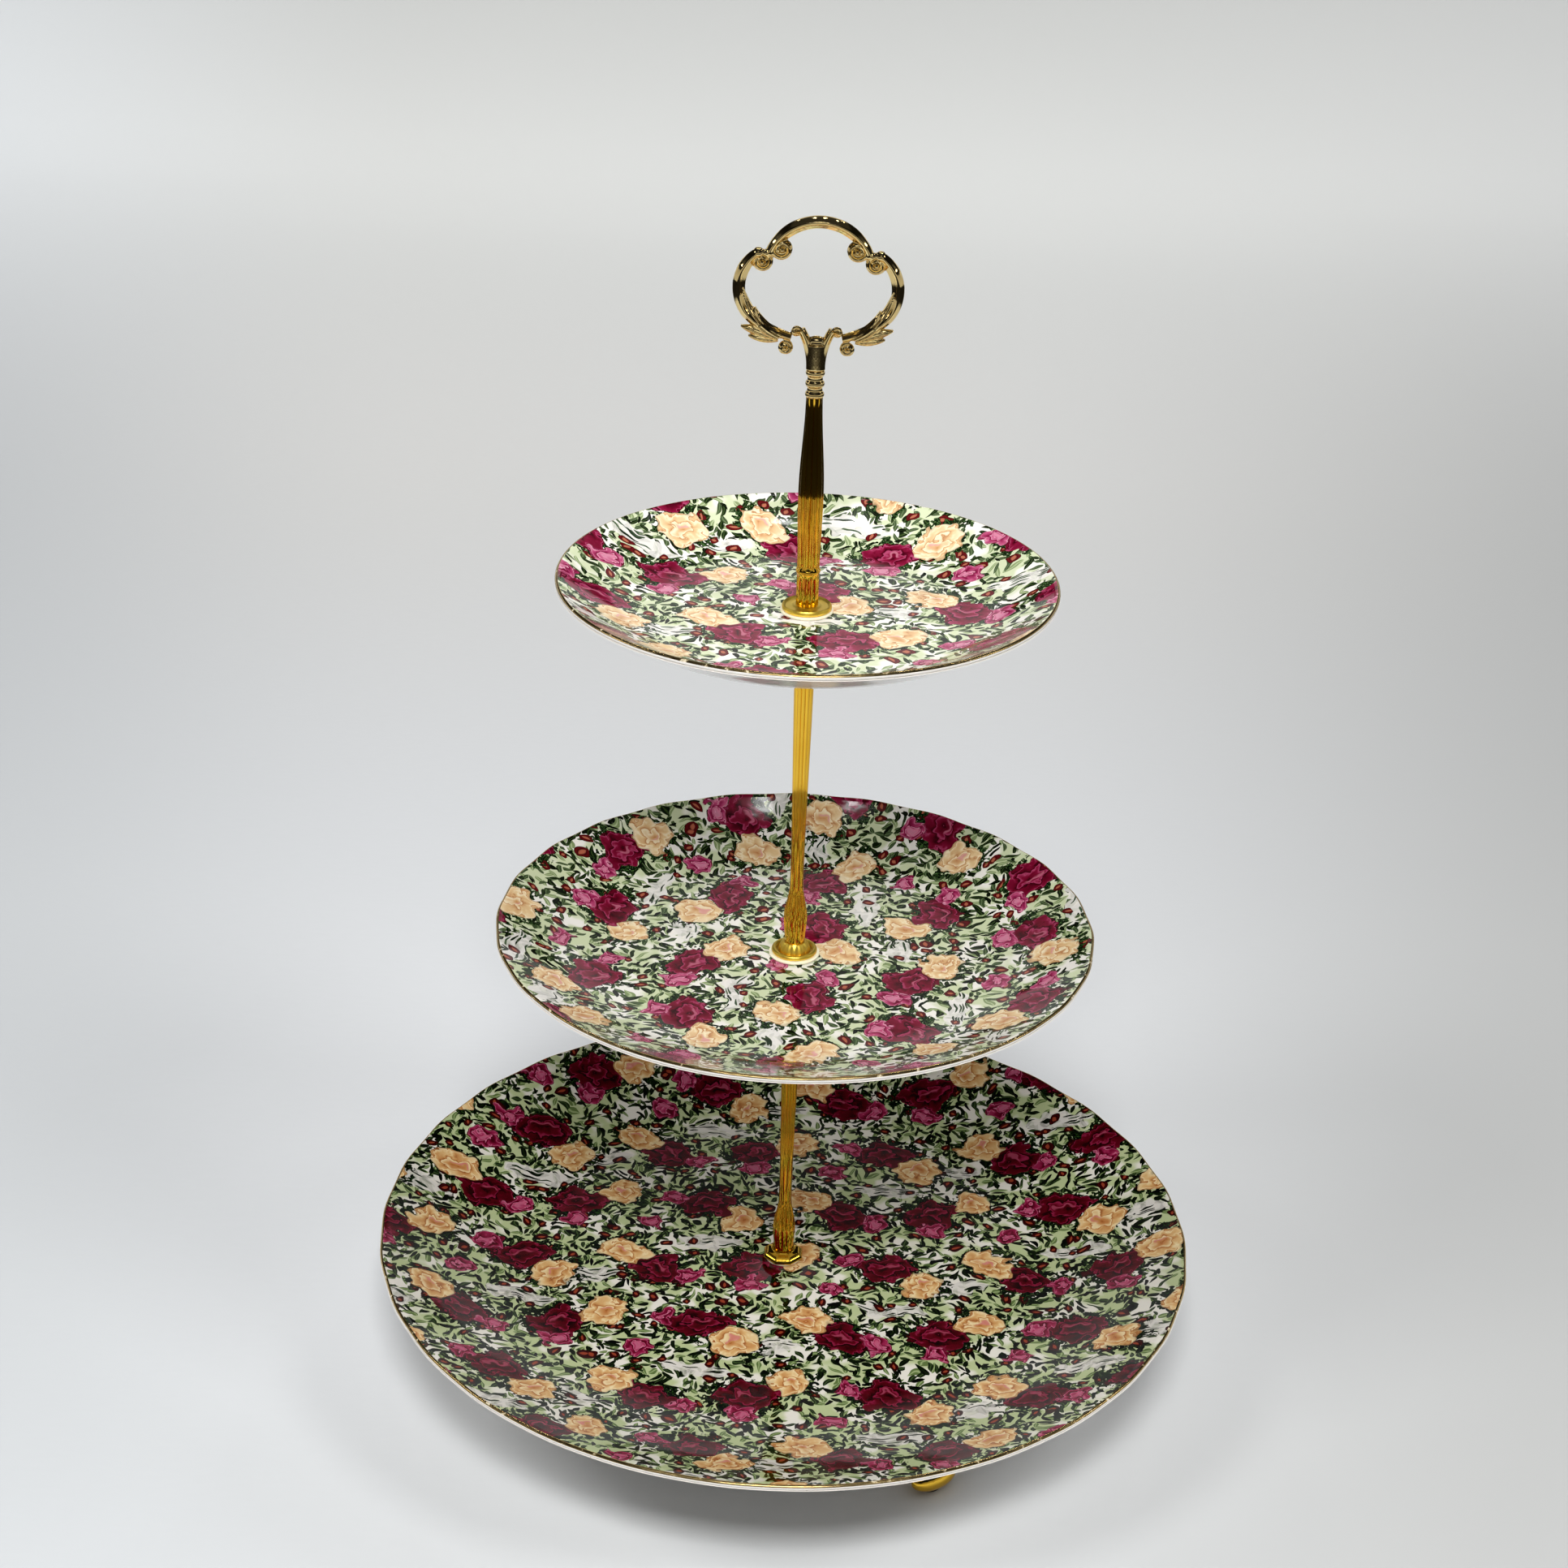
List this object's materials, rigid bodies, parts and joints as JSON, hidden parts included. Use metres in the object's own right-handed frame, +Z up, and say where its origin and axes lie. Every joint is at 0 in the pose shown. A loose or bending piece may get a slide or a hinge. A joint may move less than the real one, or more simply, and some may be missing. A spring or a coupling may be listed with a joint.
{
  "type": "tiered cake stand",
  "caption": "Tiered cake stand: round china plates, largest at the bottom, threaded on gold screwed columns, with a clover ring handle on top and a low scroll-legged base.",
  "frame": {"origin": "on the centre line of the column, at the level of the table", "axes": "+Z up along the column, -Y towards the viewer, the ring of the handle in the XZ plane"},
  "size_m": [0.267, 0.267, 0.3862],
  "materials": {
    "china": "glossy glaze over an all-over rose pattern, white underneath, thin gold line on the rim",
    "gold_plating": "bright gold plating on die-cast metal",
    "steel": "zinc plated screw steel",
    "soft_plastic": "soft translucent plastic",
    "rubber_pad": "matt black"
  },
  "bodies": {
    "base": {"base_spider": "gold_plating", "foot_pads": "rubber_pad", "base_screw": "steel", "bottom_bush": "soft_plastic"},
    "bottom_plate": {"bottom_plate": "china"},
    "lower_rosette": {"lower_soft_washer": "soft_plastic", "lower_rosette": "gold_plating"},
    "lower_column": {"lower_column": "gold_plating", "middle_stud": "steel", "middle_support_washer": "gold_plating", "middle_bush": "soft_plastic"},
    "middle_plate": {"middle_plate": "china"},
    "middle_rosette": {"middle_soft_washer": "soft_plastic", "middle_rosette": "gold_plating"},
    "middle_column": {"middle_column": "gold_plating", "top_stud": "steel", "top_support_washer": "gold_plating", "top_bush": "soft_plastic"},
    "top_plate": {"top_plate": "china"},
    "upper_rosette": {"upper_soft_washer": "soft_plastic", "upper_rosette": "gold_plating"},
    "upper_column": {"upper_column": "gold_plating", "handle_stud": "steel"},
    "handle_collar": {"handle_collar": "gold_plating"},
    "ring_handle": {"ring_handle": "gold_plating"}
  },
  "joints": [
    {"name": "bottom_plate_turn", "type": "hinge", "parent": "base", "child": "bottom_plate", "pos_m": [0, 0, 0], "axis": [0, 0, 1], "continuous": true},
    {"name": "lower_rosette_lift", "type": "slide", "parent": "base", "child": "lower_rosette", "axis": [0, 0, 1], "range_m": [0, 0.0084]},
    {"name": "lower_column_unscrew", "type": "hinge", "parent": "lower_rosette", "child": "lower_column", "pos_m": [0, 0, 0], "axis": [0, 0, 1], "range_deg": [0, 4321]},
    {"name": "middle_plate_turn", "type": "hinge", "parent": "lower_column", "child": "middle_plate", "pos_m": [0, 0, 0], "axis": [0, 0, 1], "continuous": true},
    {"name": "middle_rosette_lift", "type": "slide", "parent": "lower_column", "child": "middle_rosette", "axis": [0, 0, 1], "range_m": [0, 0.0084]},
    {"name": "middle_column_unscrew", "type": "hinge", "parent": "middle_rosette", "child": "middle_column", "pos_m": [0, 0, 0], "axis": [0, 0, 1], "range_deg": [0, 4321]},
    {"name": "top_plate_turn", "type": "hinge", "parent": "middle_column", "child": "top_plate", "pos_m": [0, 0, 0], "axis": [0, 0, 1], "continuous": true},
    {"name": "upper_rosette_lift", "type": "slide", "parent": "middle_column", "child": "upper_rosette", "axis": [0, 0, 1], "range_m": [0, 0.0084]},
    {"name": "upper_column_unscrew", "type": "hinge", "parent": "upper_rosette", "child": "upper_column", "pos_m": [0, 0, 0], "axis": [0, 0, 1], "range_deg": [0, 4321]},
    {"name": "handle_collar_lift", "type": "slide", "parent": "upper_column", "child": "handle_collar", "axis": [0, 0, 1], "range_m": [0, 0.0055]},
    {"name": "ring_handle_unscrew", "type": "hinge", "parent": "handle_collar", "child": "ring_handle", "pos_m": [0, 0, 0], "axis": [0, 0, 1], "range_deg": [0, 3961]}
  ],
  "couplings": [
    {"joint": "lower_column_unscrew", "follows": "lower_rosette_lift", "rad_per_m": 8976},
    {"joint": "middle_column_unscrew", "follows": "middle_rosette_lift", "rad_per_m": 8976},
    {"joint": "upper_column_unscrew", "follows": "upper_rosette_lift", "rad_per_m": 8976},
    {"joint": "ring_handle_unscrew", "follows": "handle_collar_lift", "rad_per_m": 12566}
  ]
}
